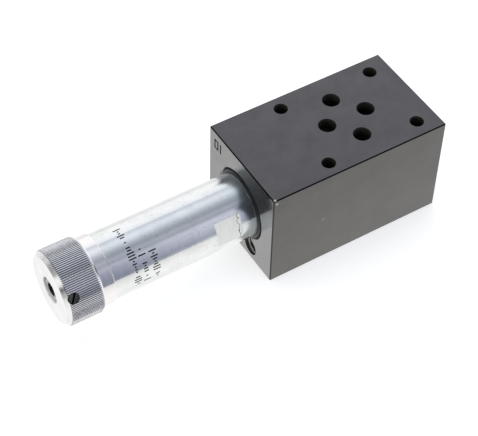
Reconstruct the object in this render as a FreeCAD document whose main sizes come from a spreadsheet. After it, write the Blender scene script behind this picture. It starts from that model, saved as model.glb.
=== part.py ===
# Hydraulic sandwich valve: a three-way pressure reducing plate with a rotary knob adjuster.
# Frame: +Z up, origin on the lower interface face at the centre of the port pattern,
# the knob towards -X, the P port towards -Y. Lengths are in millimetres.

import FreeCAD, Part
import math
import os
from types import SimpleNamespace
import Sketcher
from FreeCAD import Placement, Rotation, Vector

# Driving sizes

sizes = {
    # plate block
    "block_to_knob_side": 46.7,
    "block_to_plug_side": 30.3,
    "block_width": 44.5,
    "block_height": 45.0,
    "block_chamfer": 0.3,
    # interface pattern of size 6 valves
    "bolt_hole_radius": 2.75,
    "knob_side_bolt_offset": 19.0,
    "knob_side_bolt_half_pitch": 16.25,
    "plug_side_bolt_offset": 21.5,
    "plug_side_bolt_half_pitch": 15.5,
    "pressure_port_offset": 10.4,
    "work_port_offset": 8.75,
    "port_radius": 3.5,
    "base_port_radius": 3.3,
    "port_mouth_depth": 5.0,
    "seal_recess_radius": 6.3,
    "seal_section_radius": 0.89,
    # drillings between the two faces
    "work_drilling_radius": 3.0,
    "work_drilling_bow": 14.0,
    "tank_drilling_radius": 3.1,
    "tank_drilling_bow": 12.6,
    "feed_drilling_radius": 2.6,
    "drain_drilling_radius": 2.0,
    # bores on the valve axis
    "spool_bore_radius": 6.0,
    "spool_groove_radius": 7.0,
    "spool_groove_width": 4.0,
    "outlet_groove_offset": 2.0,
    "inlet_groove_offset": 8.0,
    "drain_chamber_radius": 10.6,
    "drain_chamber_end": 14.0,
    "sleeve_bore_end": 24.0,
    "sleeve_mouth_radius": 15.1,
    "plug_bore_start": 17.0,
    "plug_cone_depth": 2.0,
    # tapped hole beside the sleeve
    "side_hole_radius": 3.85,
    "side_hole_depth": 12.0,
    "side_hole_offset": 8.1,
    "side_hole_height": 6.1,
    # marks stamped into the knob side face
    "mark_depth": 0.2,
    "mark_stroke": 0.75,
    "mark_height": 4.8,
    "mark_width": 2.8,
    "mark_edge_distance": 3.5,
    "mark_pitch": 4.0,
    "mark_from_side": 3.4,
    # adjuster sleeve
    "sleeve_radius": 13.0,
    "sleeve_end": 114.0,
    "sleeve_chamber_radius": 10.5,
    "sleeve_wall_start": 103.0,
    "sleeve_pilot_radius": 12.2,
    "sleeve_thread_start": 43.6,
    "sleeve_thread_turns": 9,
    "sleeve_seal_section_radius": 0.8,
    "sleeve_seal_bed_radius": 12.6,
    "collar_radius": 13.7,
    "collar_start": 106.9,
    "collar_edge": 0.3,
    "wrench_flat_width": 24.0,
    "wrench_flat_depth": 1.0,
    "wrench_flat_start": 64.3,
    "wrench_flat_length": 10.9,
    "wrench_flat_angle": 162.0,
    # fine thread of sleeve, spindle and plug
    "thread_pitch": 1.5,
    "thread_depth": 0.92,
    "thread_runout": 1.2,
    # end plug
    "plug_thread_radius": 10.0,
    "plug_thread_turns": 4,
    "plug_flange_radius": 12.1,
    "plug_flange_thickness": 2.5,
    "plug_flange_inset": 0.2,
    "plug_seal_section_radius": 0.9,
    "plug_socket_width": 10.0,
    "plug_socket_depth": 7.0,
    # control spool
    "spool_reach": 0.2,
    "spool_neck_radius": 3.75,
    "inlet_opening": 2.5,
    "relief_overlap": 3.0,
    "spool_tail_radius": 3.5,
    "spool_left_land": 6.0,
    "balance_grooves": 3,
    "balance_groove_pitch": 2.0,
    "balance_groove_width": 0.4,
    "balance_groove_depth": 0.35,
    "spool_end_recess_radius": 4.4,
    "spool_end_recess_depth": 1.0,
    "pilot_hole_radius": 1.25,
    "orifice_thread_radius": 2.1,
    "orifice_length": 4.0,
    "orifice_inset": 0.45,
    "orifice_radius": 0.4,
    "orifice_slot_width": 0.8,
    "orifice_slot_depth": 0.8,
    # spring and its plates
    "spring_mean_radius": 8.1,
    "spring_wire_radius": 1.5,
    "spring_turns": 14,
    "spring_guide_radius": 6.3,
    "spring_guide_length": 3.0,
    "lower_plate_radius": 9.6,
    "lower_plate_thickness": 3.4,
    "upper_plate_start": 96.5,
    "upper_plate_thickness": 8.0,
    "plate_seal_section_radius": 0.9,
    "backup_ring_width": 1.1,
    "plate_groove_lead": 2.2,
    "plate_groove_width": 3.1,
    # spindle, ball and stop ring
    "ball_radius": 3.0,
    "ball_seat_radius": 2.6,
    "spindle_radius": 5.0,
    "spindle_inset": 0.6,
    "spindle_chamfer": 0.9,
    "spindle_neck_radius": 4.1,
    "spindle_thread_turns": 11,
    "spindle_socket_width": 5.0,
    "spindle_socket_depth": 6.0,
    "stop_ring_radius": 7.2,
    "stop_ring_thickness": 1.2,
    "stop_ring_bed_depth": 0.6,
    "stop_ring_slot": 3.0,
    # knob
    "knob_radius": 14.9,
    "knob_face": 127.0,
    "knob_length": 15.0,
    "knob_cap_thickness": 6.0,
    "knob_front_chamfer": 1.7,
    "knob_front_chamfer_length": 1.9,
    "knob_rear_chamfer": 0.6,
    "knob_rear_chamfer_length": 0.9,
    "knurl_teeth": 116,
    "knurl_depth": 0.32,
    # set screw of the knob
    "set_screw_radius": 2.0,
    "set_screw_offset": 3.4,
    "set_screw_angle": 151.3,
    "set_screw_inset": 0.35,
    "set_screw_slot_width": 0.8,
    "set_screw_slot_depth": 1.2,
    "set_screw_slot_turn": -30.0,
    "set_screw_pad_radius": 1.8,
    "set_screw_pad_thickness": 1.5,
    # clearances
    "spool_clearance": 0.02,
    "sliding_clearance": 0.05,
    "knob_clearance": 0.1,
    "seat_clearance": 0.02,
}

doc = FreeCAD.newDocument("sandwich_valve")
sheet = doc.addObject("Spreadsheet::Sheet", "Sizes")
for row, (alias, number) in enumerate(sizes.items(), start=1):
    sheet.set("A%d" % row, alias)
    sheet.set("B%d" % row, str(number))
    sheet.setAlias("B%d" % row, alias)
doc.recompute()


# Sizes that remember the sheet formula they were worked out with

class Size:
    def __init__(self, value, formula):
        self.value = value
        self.formula = formula

    def join(self, other, sign, value):
        return Size(value, "(%s %s %s)" % (self.formula, sign, other.formula))

    def __add__(self, other):
        other = toSize(other)
        return self.join(other, "+", self.value + other.value)

    def __sub__(self, other):
        other = toSize(other)
        return self.join(other, "-", self.value - other.value)

    def __mul__(self, other):
        other = toSize(other)
        return self.join(other, "*", self.value * other.value)

    def __truediv__(self, other):
        other = toSize(other)
        return self.join(other, "/", self.value / other.value)

    def __neg__(self):
        return toSize(-1) * self

    def __radd__(self, other):
        return toSize(other) + self

    def __rsub__(self, other):
        return toSize(other) - self

    def __rmul__(self, other):
        return toSize(other) * self


def toSize(number):
    return number if isinstance(number, Size) else Size(number, repr(number))


s = SimpleNamespace(**{alias: Size(sheet.get(alias), "Sizes." + alias) for alias in sizes})

# Places worked out from the driving sizes, measured along the valve axis from the port centre

diagonal = math.sqrt(2)
axisHeight = s.block_height / 2
knobSideFace = -s.block_to_knob_side
plugSideFace = s.block_to_plug_side
spoolEnd = s.plug_bore_start + s.spool_reach
inletEdge = s.inlet_groove_offset - s.spool_groove_width / 2
spoolNeckEnd = inletEdge + s.inlet_opening
spoolNeckStart = s.relief_overlap - s.drain_chamber_end
spoolLandStart = spoolNeckStart - s.spool_left_land
lowerSeat = spoolLandStart - s.seat_clearance - s.lower_plate_thickness
upperSeat = s.upper_plate_thickness - s.upper_plate_start
ballStandOff = s.ball_radius * diagonal - s.ball_seat_radius + s.seat_clearance * diagonal
ballCentre = -s.upper_plate_start - ballStandOff
spindleNose = ballCentre - ballStandOff
spindleEnd = s.spindle_inset - s.knob_face
knobRear = s.knob_length - s.knob_face
knobCapRear = s.knob_cap_thickness - s.knob_face
setScrewAxis = s.set_screw_offset - s.knob_face


# Sketch and feature helpers

def bind(item, name, size):
    item.setExpression(name, toSize(size).formula)


def newBody(label, height=None):
    body = doc.addObject("PartDesign::Body", label)
    body.Label = label
    if height is not None:
        bind(body, "Placement.Base.z", height)
    return body


def newSketch(body, name, role, lift=0, raised=0, turn=0):
    # lift is along the plane's normal, raised is along the sketch's own vertical, turn is in degrees
    sketch = body.newObject("Sketcher::SketchObject", name)
    plane = [item for item in body.Origin.OriginFeatures if item.Role == role][0]
    sketch.AttachmentSupport = [(plane, "")]
    sketch.MapMode = "FlatFace"
    place = Vector(0, toSize(raised).value, toSize(lift).value)
    sketch.AttachmentOffset = Placement(place, Rotation(Vector(0, 0, 1), toSize(turn).value))
    bind(sketch, "AttachmentOffset.Base.y", raised)
    bind(sketch, "AttachmentOffset.Base.z", lift)
    return sketch


def holdPoint(sketch, geometry, point, across, up):
    for kind, axis, size in (("DistanceX", -2, toSize(across)), ("DistanceY", -1, toSize(up))):
        if abs(size.value) < 1e-9:
            sketch.addConstraint(Sketcher.Constraint("PointOnObject", geometry, point, axis))
        else:
            index = sketch.addConstraint(Sketcher.Constraint(kind, -1, 1, geometry, point, size.value))
            bind(sketch, "Constraints[%d]" % index, size)


def drawLoop(sketch, points):
    corners = [Vector(toSize(across).value, toSize(up).value, 0) for across, up in points]
    first = sketch.GeometryCount
    count = len(points)
    for index in range(count):
        sketch.addGeometry(Part.LineSegment(corners[index], corners[(index + 1) % count]))
    for index in range(count):
        following = first + (index + 1) % count
        sketch.addConstraint(Sketcher.Constraint("Coincident", first + index, 2, following, 1))
    for index, (across, up) in enumerate(points):
        holdPoint(sketch, first + index, 1, across, up)


def drawCircles(sketch, centres, radius):
    for across, up in centres:
        centre = Vector(toSize(across).value, toSize(up).value, 0)
        circle = sketch.addGeometry(Part.Circle(centre, Vector(0, 0, 1), toSize(radius).value))
        holdPoint(sketch, circle, 3, across, up)
        index = sketch.addConstraint(Sketcher.Constraint("Radius", circle, toSize(radius).value))
        bind(sketch, "Constraints[%d]" % index, radius)


def drawBox(sketch, left, right, low, high):
    drawLoop(sketch, [(left, low), (right, low), (right, high), (left, high)])


def drawHexagon(sketch, width):
    corner = width / math.sqrt(3)
    points = []
    for step in range(6):
        angle = math.radians(60 * step)
        points.append((corner * round(math.cos(angle), 9), corner * round(math.sin(angle), 9)))
    drawLoop(sketch, points)


def spin(body, sketch, kind):
    # turns a half profile round the sketch's horizontal axis, kind is Revolution or Groove
    feature = body.newObject("PartDesign::" + kind, sketch.Name + "Turned")
    feature.Profile = sketch
    feature.ReferenceAxis = (sketch, ["H_Axis"])
    feature.Angle = 360
    doc.recompute()
    return feature


def pad(body, sketch, length, towardsNormal=True):
    feature = body.newObject("PartDesign::Pad", sketch.Name + "Pad")
    feature.Profile = sketch
    feature.Reversed = not towardsNormal
    bind(feature, "Length", length)
    doc.recompute()
    return feature


def pocket(body, sketch, depth, towardsNormal=False):
    before = body.Shape.Volume
    feature = body.newObject("PartDesign::Pocket", sketch.Name + "Pocket")
    feature.Profile = sketch
    feature.Reversed = towardsNormal
    bind(feature, "Length", depth)
    doc.recompute()
    if body.Shape.Volume >= before:
        raise RuntimeError(sketch.Name + " cuts nothing")
    return feature


def turned(label, points):
    body = newBody(label, axisHeight)
    sketch = newSketch(body, label + "Profile", "XZ_Plane")
    drawLoop(sketch, points)
    spin(body, sketch, "Revolution")
    return body


def drill(body, name, radius, start, end, past=0.0):
    # a straight drilling between two points, run on by the length past
    before = body.Shape.Volume
    origin = Vector(*[toSize(part).value for part in start])
    line = Vector(*[toSize(part).value for part in end]) - origin
    feature = body.newObject("PartDesign::SubtractiveCylinder", name)
    bind(feature, "Radius", radius)
    feature.Height = line.Length + past
    feature.Placement = Placement(origin, Rotation(Vector(0, 0, 1), line))
    doc.recompute()
    if body.Shape.Volume >= before:
        raise RuntimeError(name + " cuts nothing")
    return feature


def ring(label, centre, ringRadius, sectionRadius, axis=Vector(1, 0, 0)):
    torus = doc.addObject("Part::Torus", label)
    torus.Label = label
    bind(torus, "Radius1", ringRadius)
    bind(torus, "Radius2", sectionRadius)
    torus.Placement = Placement(Vector(0, 0, 0), Rotation(Vector(0, 0, 1), axis))
    for letter, size in zip("xyz", centre):
        bind(torus, "Placement.Base." + letter, size)
    return torus


def threadRun(start, crest, turns):
    # ridges of a V thread drawn as closed rings, from start towards +X
    points = []
    for index in range(int(toSize(turns).value)):
        left = start + s.thread_pitch * index
        points.append((left, crest))
        points.append((left + s.thread_pitch * 0.35, crest - s.thread_depth))
        points.append((left + s.thread_pitch * 0.55, crest - s.thread_depth))
        points.append((left + s.thread_pitch * 0.9, crest))
    return points


# Plate block with its interface pattern, drillings and axial bores

def boreProfile():
    outletLeft = -s.outlet_groove_offset - s.spool_groove_width / 2
    outletRight = outletLeft + s.spool_groove_width
    inletRight = inletEdge + s.spool_groove_width
    sleeveBore = s.sleeve_radius + s.sliding_clearance
    plugBore = s.plug_thread_radius + s.sliding_clearance
    plugRecess = s.plug_flange_radius + s.knob_clearance
    plugRecessFloor = plugSideFace - s.plug_flange_inset - s.plug_flange_thickness - s.seat_clearance
    plugConeStart = plugRecessFloor - s.plug_cone_depth
    return [
        (knobSideFace, 0),
        (knobSideFace, s.sleeve_mouth_radius),
        (knobSideFace + s.sleeve_mouth_radius - sleeveBore, sleeveBore),
        (-s.sleeve_bore_end, sleeveBore),
        (-s.sleeve_bore_end, s.drain_chamber_radius),
        (-s.drain_chamber_end, s.drain_chamber_radius),
        (-s.drain_chamber_end, s.spool_bore_radius),
        (outletLeft, s.spool_bore_radius),
        (outletLeft, s.spool_groove_radius),
        (outletRight, s.spool_groove_radius),
        (outletRight, s.spool_bore_radius),
        (inletEdge, s.spool_bore_radius),
        (inletEdge, s.spool_groove_radius),
        (inletRight, s.spool_groove_radius),
        (inletRight, s.spool_bore_radius),
        (s.plug_bore_start, s.spool_bore_radius),
        (s.plug_bore_start, plugBore),
        (plugConeStart, plugBore),
        (plugRecessFloor, plugBore + s.plug_cone_depth),
        (plugRecessFloor, plugRecess),
        (plugSideFace, plugRecess),
        (plugSideFace, 0),
    ]


def drillBowed(body, name, radius, across, along, bow):
    # joins the upper and the lower mouth of a port round the spool bore, bow is its reach sideways
    inset = s.port_mouth_depth - 1.0
    middle = (across, bow, axisHeight)
    run = 0.5 * toSize(radius).value
    drill(body, name + "Lower", radius, (across, along, inset), middle, run)
    drill(body, name + "Upper", radius, (across, along, s.block_height - inset), middle, run)


def makeBlock():
    body = newBody("valve_body")
    outline = newSketch(body, "blockOutline", "XY_Plane")
    drawBox(outline, knobSideFace, plugSideFace, -s.block_width / 2, s.block_width / 2)
    block = pad(body, outline, s.block_height)
    chamfer = body.newObject("PartDesign::Chamfer", "blockEdges")
    chamfer.Base = (block, ["Edge%d" % number for number in range(1, 13)])
    bind(chamfer, "Size", s.block_chamfer)
    doc.recompute()

    bores = newSketch(body, "axialBores", "XZ_Plane", raised=axisHeight)
    drawLoop(bores, boreProfile())
    spin(body, bores, "Groove")

    bolts = [(-s.knob_side_bolt_offset, s.knob_side_bolt_half_pitch * side) for side in (-1, 1)]
    bolts += [(s.plug_side_bolt_offset, s.plug_side_bolt_half_pitch * side) for side in (-1, 1)]
    holes = newSketch(body, "boltHoles", "XY_Plane")
    drawCircles(holes, bolts, s.bolt_hole_radius)
    pocket(body, holes, s.block_height, towardsNormal=True)

    ports = [(0, -s.pressure_port_offset), (0, s.pressure_port_offset)]
    ports += [(-s.work_port_offset, 0), (s.work_port_offset, 0)]
    upper = newSketch(body, "upperPorts", "XY_Plane", lift=s.block_height)
    drawCircles(upper, ports, s.port_radius)
    pocket(body, upper, s.port_mouth_depth)
    lower = newSketch(body, "lowerPorts", "XY_Plane")
    drawCircles(lower, ports, s.base_port_radius)
    pocket(body, lower, s.port_mouth_depth, towardsNormal=True)
    recesses = newSketch(body, "sealRecesses", "XY_Plane")
    drawCircles(recesses, ports, s.seal_recess_radius)
    pocket(body, recesses, 2 * s.seal_section_radius + s.seat_clearance, towardsNormal=True)

    # A and B pass the spool on opposite sides, T passes beside it, P is cut by the spool
    drillBowed(body, "portA", s.work_drilling_radius, s.work_port_offset, 0, s.work_drilling_bow)
    drillBowed(body, "portB", s.work_drilling_radius, -s.work_port_offset, 0, -s.work_drilling_bow)
    drillBowed(body, "portT", s.tank_drilling_radius, 0, s.pressure_port_offset, s.tank_drilling_bow)
    inset = s.port_mouth_depth - 1.0
    reach = s.spool_bore_radius * 0.6  # where a feed meets the bore, off its axis
    drill(body, "inletFeed", s.feed_drilling_radius,
          (0, -s.pressure_port_offset, inset),
          (s.inlet_groove_offset, -reach, axisHeight - reach))
    drill(body, "outletFeed", s.feed_drilling_radius,
          (0, -s.pressure_port_offset, s.block_height - inset),
          (-s.outlet_groove_offset, -reach, axisHeight + reach))
    drill(body, "drainFeed", s.drain_drilling_radius,
          (0, s.pressure_port_offset, inset),
          (-s.drain_chamber_end - s.drain_drilling_radius, reach, axisHeight - s.spool_bore_radius))

    tapped = newSketch(body, "sideHole", "YZ_Plane", lift=knobSideFace)
    drawCircles(tapped, [(-s.side_hole_offset, s.side_hole_height)], s.side_hole_radius)
    pocket(body, tapped, s.side_hole_depth, towardsNormal=True)

    # two plain marks, a bar and a rectangular ring
    marks = newSketch(body, "stampedMarks", "YZ_Plane", lift=knobSideFace)
    top = s.block_height - s.mark_edge_distance
    bottom = top - s.mark_height
    right = s.block_width / 2 - s.mark_from_side
    left = right - s.mark_width
    barRight = right - s.mark_pitch
    drawBox(marks, left, right, bottom, top)
    drawBox(marks, left + s.mark_stroke, right - s.mark_stroke, bottom + s.mark_stroke, top - s.mark_stroke)
    drawBox(marks, barRight - s.mark_stroke, barRight, bottom, top)
    pocket(body, marks, s.mark_depth, towardsNormal=True)
    return body


# Seals in the lower interface face

def makePortSeals():
    height = s.seal_section_radius + s.seat_clearance / 2
    ringRadius = s.seal_recess_radius - s.seal_section_radius - s.seat_clearance
    places = {
        "port_p_o_ring": (0, -s.pressure_port_offset, height),
        "port_t_o_ring": (0, s.pressure_port_offset, height),
        "port_a_o_ring": (s.work_port_offset, 0, height),
        "port_b_o_ring": (-s.work_port_offset, 0, height),
    }
    for label, place in places.items():
        ring(label, place, ringRadius, s.seal_section_radius, Vector(0, 0, 1))


# Adjuster sleeve: a screwed-in tube with a seal at the block, wrench flats and a collar

def sleeveSealPlace():
    # the ring lies on its bed in the sleeve and touches the cone at the mouth of the bore
    ringRadius = s.sleeve_seal_bed_radius + s.sleeve_seal_section_radius + s.seat_clearance
    reach = (s.sleeve_seal_section_radius + s.seat_clearance) * diagonal
    place = knobSideFace + s.sleeve_mouth_radius - ringRadius - reach
    return place, ringRadius


def makeSleeve():
    sealPlace, _ = sleeveSealPlace()
    bedHalf = s.sleeve_seal_section_radius + s.seat_clearance * 2
    nose = -s.sleeve_bore_end - s.seat_clearance
    spindleBore = s.spindle_radius + s.sliding_clearance
    edge = 0.5
    threadStart = -s.sleeve_thread_start
    threadEnd = threadStart + s.thread_pitch * s.sleeve_thread_turns
    points = [
        (-s.sleeve_end, spindleBore),
        (-s.sleeve_end, s.collar_radius - edge),
        (edge - s.sleeve_end, s.collar_radius),
        (-s.collar_start - s.collar_edge, s.collar_radius),
        (-s.collar_start, s.collar_radius - s.collar_edge),
        (-s.collar_start, s.sleeve_radius),
        (sealPlace - bedHalf, s.sleeve_radius),
        (sealPlace - bedHalf, s.sleeve_seal_bed_radius),
        (sealPlace + bedHalf, s.sleeve_seal_bed_radius),
        (sealPlace + bedHalf, s.sleeve_radius),
    ]
    points += threadRun(threadStart, s.sleeve_radius, s.sleeve_thread_turns)
    points += [
        (threadEnd, s.sleeve_pilot_radius),
        (nose - edge, s.sleeve_pilot_radius),
        (nose, s.sleeve_pilot_radius - edge),
        (nose, s.sleeve_chamber_radius + edge),
        (nose - edge, s.sleeve_chamber_radius),
        (-s.sleeve_wall_start, s.sleeve_chamber_radius),
        (-s.sleeve_wall_start, spindleBore),
    ]
    body = turned("adjuster_sleeve", points)

    # the land under the flats keeps their depth whatever their width, here it is flush with the tube
    landRadius = s.wrench_flat_width / 2 + s.wrench_flat_depth
    land = newSketch(body, "wrenchLand", "YZ_Plane", lift=-s.wrench_flat_start)
    drawCircles(land, [(0, 0)], landRadius)
    drawCircles(land, [(0, 0)], (s.sleeve_radius + s.sleeve_chamber_radius) / 2)
    pad(body, land, s.wrench_flat_length)
    flats = newSketch(body, "wrenchFlats", "YZ_Plane",
                      lift=-s.wrench_flat_start, turn=s.wrench_flat_angle - 180)
    outer = landRadius + s.sleeve_radius
    for side in (-1, 1):
        drawBox(flats, s.wrench_flat_width / 2 * side, outer * side, -outer, outer)
    pocket(body, flats, s.wrench_flat_length, towardsNormal=True)
    return body


def makeSleeveSeal():
    place, ringRadius = sleeveSealPlace()
    return ring("sleeve_o_ring", (place, 0, axisHeight), ringRadius, s.sleeve_seal_section_radius)


# End plug that closes the bore on the far side, with its seal under the flange

def plugSealPlace():
    flangeRear = plugSideFace - s.plug_flange_inset - s.plug_flange_thickness
    place = flangeRear - s.plug_seal_section_radius - s.seat_clearance
    coneLine = flangeRear - s.seat_clearance - s.plug_cone_depth - s.plug_thread_radius - s.sliding_clearance
    reach = (s.plug_seal_section_radius + s.seat_clearance) * diagonal
    return place, place - coneLine - reach


def makeEndPlug():
    flangeFront = plugSideFace - s.plug_flange_inset
    flangeRear = flangeFront - s.plug_flange_thickness
    _, sealRadius = plugSealPlace()
    neck = sealRadius - s.plug_seal_section_radius - s.seat_clearance
    nose = spoolEnd + s.sliding_clearance
    threadStart = nose + s.thread_runout
    threadEnd = threadStart + s.thread_pitch * s.plug_thread_turns
    root = s.plug_thread_radius - s.thread_depth
    edge = 0.4
    points = [
        (nose, 0),
        (nose, root - edge),
        (nose + edge, root),
        (threadStart - edge, root),
    ]
    points += threadRun(threadStart, s.plug_thread_radius, s.plug_thread_turns)
    points += [
        (threadEnd, neck),
        (flangeRear, neck),
        (flangeRear, s.plug_flange_radius),
        (flangeFront - edge, s.plug_flange_radius),
        (flangeFront, s.plug_flange_radius - edge),
        (flangeFront, 0),
    ]
    body = turned("end_plug", points)
    socket = newSketch(body, "plugSocket", "YZ_Plane", lift=flangeFront)
    drawHexagon(socket, s.plug_socket_width)
    pocket(body, socket, s.plug_socket_depth)
    return body


def makePlugSeal():
    place, ringRadius = plugSealPlace()
    return ring("end_plug_o_ring", (place, 0, axisHeight), ringRadius, s.plug_seal_section_radius)


# Control spool with its pilot drilling and orifice screw

def orificeStart():
    return spoolEnd - s.spool_end_recess_depth - s.orifice_inset - s.orifice_length


def makeSpool():
    land = s.spool_bore_radius - s.spool_clearance
    tail = spoolLandStart - s.lower_plate_thickness
    edge = 0.2
    orificeSeat = orificeStart() - s.sliding_clearance
    orificeBore = s.orifice_thread_radius + s.sliding_clearance
    crossHole = (spoolNeckStart + spoolNeckEnd) / 2
    points = [
        (tail, 0),
        (tail, s.spool_tail_radius - edge),
        (tail + edge, s.spool_tail_radius),
        (spoolLandStart, s.spool_tail_radius),
        (spoolLandStart, land),
        (spoolNeckStart, land),
        (spoolNeckStart, s.spool_neck_radius),
        (spoolNeckEnd, s.spool_neck_radius),
        (spoolNeckEnd, land),
    ]
    for index in range(int(s.balance_grooves.value)):
        left = spoolNeckEnd + s.balance_groove_pitch * (index + 1)
        points += [
            (left, land),
            (left, land - s.balance_groove_depth),
            (left + s.balance_groove_width, land - s.balance_groove_depth),
            (left + s.balance_groove_width, land),
        ]
    points += [
        (spoolEnd - edge, land),
        (spoolEnd, land - edge),
        (spoolEnd, s.spool_end_recess_radius),
        (spoolEnd - s.spool_end_recess_depth, s.spool_end_recess_radius),
        (spoolEnd - s.spool_end_recess_depth, orificeBore),
        (orificeSeat, orificeBore),
        (orificeSeat, s.pilot_hole_radius),
        (crossHole, s.pilot_hole_radius),
        (crossHole, 0),
    ]
    body = turned("control_spool", points)
    reach = s.spool_neck_radius + 1.0
    drill(body, "crossHole", s.pilot_hole_radius, (crossHole, 0, -reach), (crossHole, 0, reach))
    return body


def makeOrifice():
    left = orificeStart()
    right = left + s.orifice_length
    body = turned("spool_orifice", [
        (left, s.orifice_radius),
        (left, s.orifice_thread_radius),
        (right, s.orifice_thread_radius),
        (right, s.orifice_radius),
    ])
    slot = newSketch(body, "orificeSlot", "YZ_Plane", lift=right)
    reach = s.orifice_thread_radius + 1.0
    drawBox(slot, -s.orifice_slot_width / 2, s.orifice_slot_width / 2, -reach, reach)
    pocket(body, slot, s.orifice_slot_depth)
    return body


# Spring plates, spring and the seal of the upper plate

def makeLowerPlate():
    bore = s.spool_tail_radius + s.seat_clearance
    edge = 0.4
    right = spoolLandStart - s.seat_clearance
    return turned("lower_spring_plate", [
        (lowerSeat - s.spring_guide_length, bore),
        (lowerSeat - s.spring_guide_length, s.spring_guide_radius - edge),
        (lowerSeat - s.spring_guide_length + edge, s.spring_guide_radius),
        (lowerSeat, s.spring_guide_radius),
        (lowerSeat, s.lower_plate_radius),
        (right - edge, s.lower_plate_radius),
        (right, s.lower_plate_radius - edge),
        (right, bore),
    ])


def makeUpperPlate():
    left = -s.upper_plate_start
    rim = s.sleeve_chamber_radius - s.sliding_clearance
    grooveStart = left + s.plate_groove_lead
    grooveEnd = grooveStart + s.plate_groove_width
    bed = rim - 2 * s.plate_seal_section_radius - s.seat_clearance
    edge = 0.4
    return turned("upper_spring_plate", [
        (left + s.ball_seat_radius, 0),
        (left, s.ball_seat_radius),
        (left, rim - edge),
        (left + edge, rim),
        (grooveStart, rim),
        (grooveStart, bed),
        (grooveEnd, bed),
        (grooveEnd, rim),
        (upperSeat - edge, rim),
        (upperSeat, rim - edge),
        (upperSeat, s.spring_guide_radius),
        (upperSeat + s.spring_guide_length - edge, s.spring_guide_radius),
        (upperSeat + s.spring_guide_length, s.spring_guide_radius - edge),
        (upperSeat + s.spring_guide_length, 0),
    ])


def makePlateSeals():
    rim = s.sleeve_chamber_radius - s.sliding_clearance
    grooveStart = s.plate_groove_lead - s.upper_plate_start
    backupEnd = grooveStart + s.backup_ring_width
    bed = rim - 2 * s.plate_seal_section_radius
    turned("plate_backup_ring", [
        (grooveStart + s.seat_clearance, bed),
        (grooveStart + s.seat_clearance, rim),
        (backupEnd, rim),
        (backupEnd, bed),
    ])
    place = backupEnd + s.plate_seal_section_radius + s.seat_clearance
    ringRadius = rim - s.plate_seal_section_radius
    ring("plate_o_ring", (place, 0, axisHeight), ringRadius, s.plate_seal_section_radius)


def makeSpring():
    # closed and ground ends: the wire starts and ends with a turn laid against its neighbour
    wire = s.spring_wire_radius.value
    radius = s.spring_mean_radius.value
    turns = s.spring_turns.value
    left = upperSeat.value
    length = lowerSeat.value - left
    endPitch = 2.04 * wire
    endLift = 0.6 * wire
    midPitch = (length - 2 * endLift - 2 * endPitch) / (turns - 2)
    blend = 0.25
    stepsPerTurn = 16
    heights = [endLift]
    steps = int(turns * stepsPerTurn)
    for step in range(steps):
        turn = (step + 0.5) / stepsPerTurn
        fromEnd = min(turn, turns - turn)
        share = min(max((fromEnd - 1 + blend) / (2 * blend), 0), 1)
        smooth = share * share * (3 - 2 * share)
        heights.append(heights[-1] + (endPitch + (midPitch - endPitch) * smooth) / stepsPerTurn)
    points = []
    for step, height in enumerate(heights):
        angle = 2 * math.pi * step / stepsPerTurn
        points.append(Vector(left + height, radius * math.cos(angle), radius * math.sin(angle)))
    path = Part.BSplineCurve()
    path.interpolate(points)
    start = path.tangent(path.FirstParameter)[0]
    section = Part.Wire(Part.makeCircle(wire, points[0], start))
    shell = Part.Wire(path.toShape()).makePipeShell([section], True, True)
    ground = Part.makeCylinder(radius + 2 * wire, length, Vector(left, 0, 0), Vector(1, 0, 0))
    spring = doc.addObject("Part::Feature", "main_spring")
    spring.Label = "main_spring"
    spring.Shape = shell.common(ground).Solids[0]
    spring.Placement = Placement(Vector(0, 0, axisHeight.value), Rotation())
    return spring


# Thrust ball, spindle and stop ring

def makeBall():
    ball = doc.addObject("Part::Sphere", "thrust_ball")
    ball.Label = "thrust_ball"
    bind(ball, "Radius", s.ball_radius)
    bind(ball, "Placement.Base.x", ballCentre)
    bind(ball, "Placement.Base.z", axisHeight)
    return ball


def stopRingBed():
    start = s.seat_clearance * 2 - s.sleeve_wall_start
    return start, start + s.stop_ring_thickness + s.seat_clearance * 2


def makeSpindle():
    bedStart, bedEnd = stopRingBed()
    bed = s.spindle_neck_radius - s.stop_ring_bed_depth
    edge = 0.5
    threadEnd = -s.sleeve_wall_start - s.thread_runout
    threadStart = threadEnd - s.thread_pitch * s.spindle_thread_turns
    points = [
        (spindleEnd, 0),
        (spindleEnd, s.spindle_radius - s.spindle_chamfer),
        (spindleEnd + s.spindle_chamfer, s.spindle_radius),
    ]
    points += threadRun(threadStart, s.spindle_radius, s.spindle_thread_turns)
    points += [
        (threadEnd, s.spindle_neck_radius),
        (bedStart, s.spindle_neck_radius),
        (bedStart, bed),
        (bedEnd, bed),
        (bedEnd, s.spindle_neck_radius),
        (spindleNose - edge, s.spindle_neck_radius),
        (spindleNose, s.spindle_neck_radius - edge),
        (spindleNose, s.ball_seat_radius),
        (spindleNose - s.ball_seat_radius, 0),
    ]
    body = turned("adjusting_spindle", points)
    socket = newSketch(body, "spindleSocket", "YZ_Plane", lift=spindleEnd)
    drawHexagon(socket, s.spindle_socket_width)
    pocket(body, socket, s.spindle_socket_depth, towardsNormal=True)
    return body


def makeStopRing():
    bedStart, _ = stopRingBed()
    left = bedStart + s.seat_clearance
    bore = s.spindle_neck_radius - s.stop_ring_bed_depth + s.seat_clearance
    body = turned("spindle_stop_ring", [
        (left, bore),
        (left, s.stop_ring_radius),
        (left + s.stop_ring_thickness, s.stop_ring_radius),
        (left + s.stop_ring_thickness, bore),
    ])
    slot = newSketch(body, "stopRingSlot", "YZ_Plane", lift=left)
    drawBox(slot, -s.stop_ring_slot / 2, s.stop_ring_slot / 2, 0, s.stop_ring_radius + 1.0)
    pocket(body, slot, s.stop_ring_thickness, towardsNormal=True)
    return body


# Knob with straight knurling, and the screw and pad that hold it on the spindle

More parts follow.
